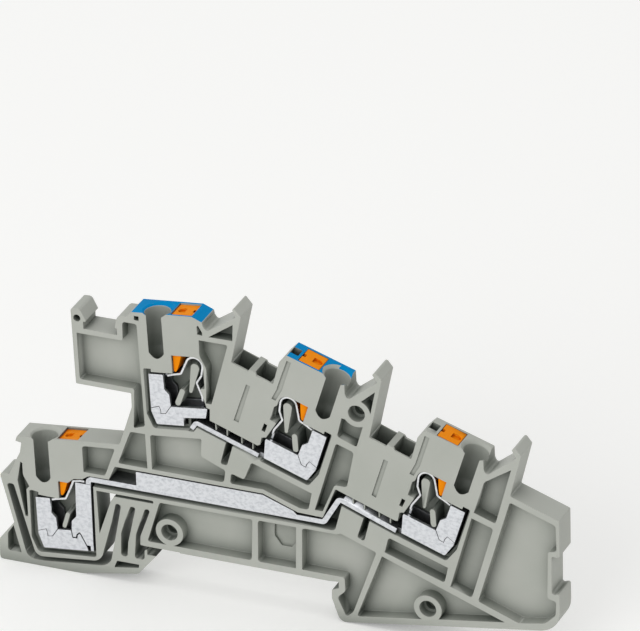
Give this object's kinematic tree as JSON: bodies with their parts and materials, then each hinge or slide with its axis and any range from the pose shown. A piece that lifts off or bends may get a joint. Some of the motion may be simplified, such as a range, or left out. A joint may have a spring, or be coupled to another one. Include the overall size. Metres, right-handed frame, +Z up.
{
  "type": "double-level terminal block",
  "caption": "Slim double-level terminal slice for a mounting rail, with clamped wire entries, sprung pushers and current bars seen at its open face.",
  "frame": {"origin": "middle of the slice's thickness on the flat underside that rests on the rail, near the middle of the rail", "axes": "+X along the slice towards its rounded lower end, +Y from the open face to the closed face, +Z up away from the rail"},
  "size_m": [0.1058, 0.0068, 0.0578],
  "materials": {
    "housing_plastic": "satin moulded polyamide",
    "pusher_plastic": "moulded polyamide",
    "tinned_copper": "tin-plated sheet",
    "spring_steel": "bright rolled strip"
  },
  "bodies": {
    "housing": {"housing": "housing_plastic", "upper_current_bar": "tinned_copper", "lower_current_bar": "tinned_copper", "cage_lower_left": "tinned_copper", "spring_lower_left": "spring_steel", "cage_upper_left": "tinned_copper", "spring_upper_left": "spring_steel", "cage_upper_right": "tinned_copper", "spring_upper_right": "spring_steel", "cage_lower_right": "tinned_copper", "spring_lower_right": "spring_steel"},
    "pusher_lower_left": {"pusher_lower_left": "pusher_plastic"},
    "pusher_upper_left": {"pusher_upper_left": "pusher_plastic"},
    "pusher_upper_right": {"pusher_upper_right": "pusher_plastic"},
    "pusher_lower_right": {"pusher_lower_right": "pusher_plastic"}
  },
  "joints": [
    {"name": "press_lower_left", "type": "slide", "parent": "housing", "child": "pusher_lower_left", "axis": [0.0262, 0, -0.9997], "range_m": [0, 0.0018], "stiffness_N_per_m": 4000, "springref_m": -0.0002, "deforming": ["spring_lower_left"]},
    {"name": "press_upper_left", "type": "slide", "parent": "housing", "child": "pusher_upper_left", "axis": [0.0349, 0, -0.9994], "range_m": [0, 0.0018], "stiffness_N_per_m": 4000, "springref_m": -0.0002, "deforming": ["spring_upper_left"]},
    {"name": "press_upper_right", "type": "slide", "parent": "housing", "child": "pusher_upper_right", "axis": [-0.3123, 0, -0.95], "range_m": [0, 0.0018], "stiffness_N_per_m": 4000, "springref_m": -0.0002, "deforming": ["spring_upper_right"]},
    {"name": "press_lower_right", "type": "slide", "parent": "housing", "child": "pusher_lower_right", "axis": [-0.3123, 0, -0.95], "range_m": [0, 0.0018], "stiffness_N_per_m": 4000, "springref_m": -0.0002, "deforming": ["spring_lower_right"]}
  ]
}
